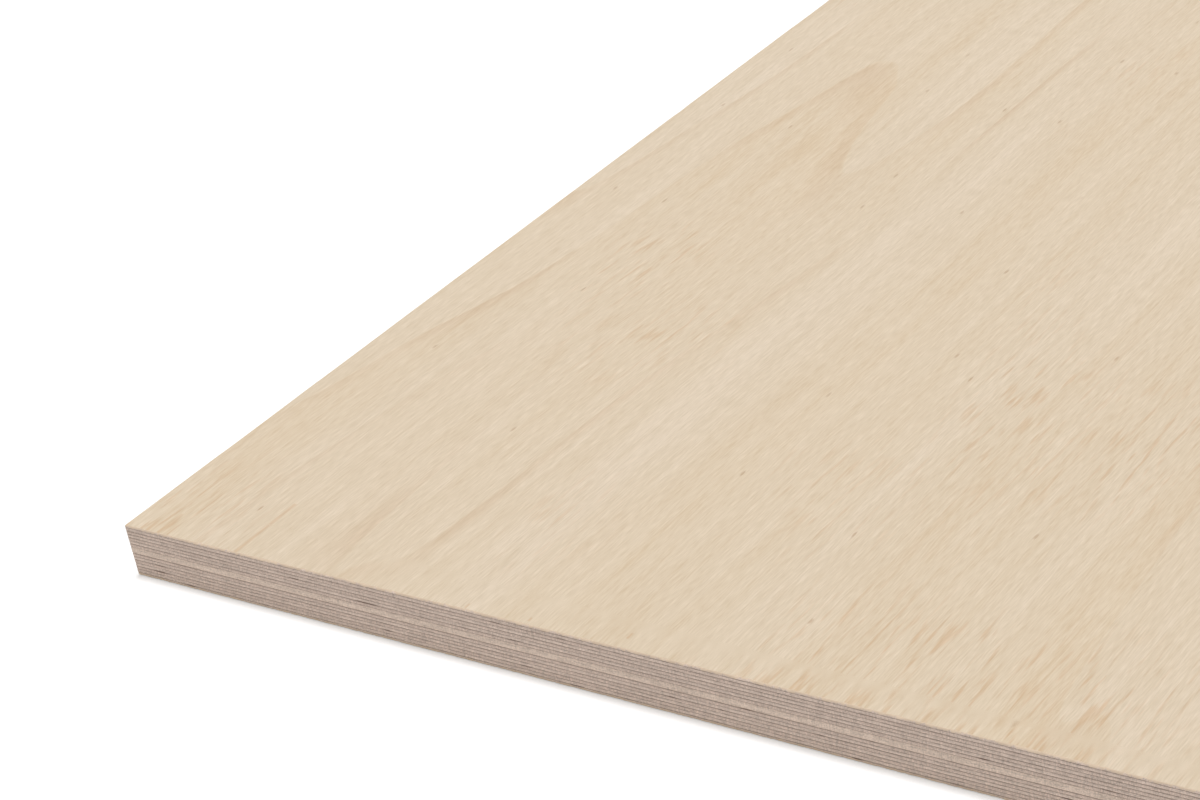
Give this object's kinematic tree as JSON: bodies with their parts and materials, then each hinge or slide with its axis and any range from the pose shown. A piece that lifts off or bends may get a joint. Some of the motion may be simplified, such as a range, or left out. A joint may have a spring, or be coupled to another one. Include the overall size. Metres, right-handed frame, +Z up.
{
  "type": "birch plywood sheet",
  "caption": "Flat square sheet of cross-banded birch plywood with sanded faces and square-sawn edges that show the plies.",
  "frame": {"origin": "middle of the underside, which is the sanded back face that the sheet lies on", "axes": "+Z up through the thickness; +Y along the grain of the two outer veneers; +X across that grain"},
  "size_m": [1.525, 1.525, 0.021],
  "materials": {
    "face_veneer": "sanded bare birch veneer, pale cream, grain along Y",
    "back_veneer": "sanded bare birch veneer, pale cream, grain along Y",
    "cross_ply": "sawn birch veneer edge, grain along X",
    "long_ply": "sawn birch veneer edge, grain along Y",
    "core_ply": "sawn birch veneer edge, grain along X"
  },
  "bodies": {
    "root": {"face_veneer": "face_veneer", "cross_ply_02": "cross_ply", "long_ply_03": "long_ply", "cross_ply_04": "cross_ply", "long_ply_05": "long_ply", "cross_ply_06": "cross_ply", "long_ply_07": "long_ply", "core_ply_08": "core_ply", "long_ply_09": "long_ply", "cross_ply_10": "cross_ply", "long_ply_11": "long_ply", "cross_ply_12": "cross_ply", "long_ply_13": "long_ply", "cross_ply_14": "cross_ply", "back_veneer": "back_veneer"}
  },
  "joints": []
}
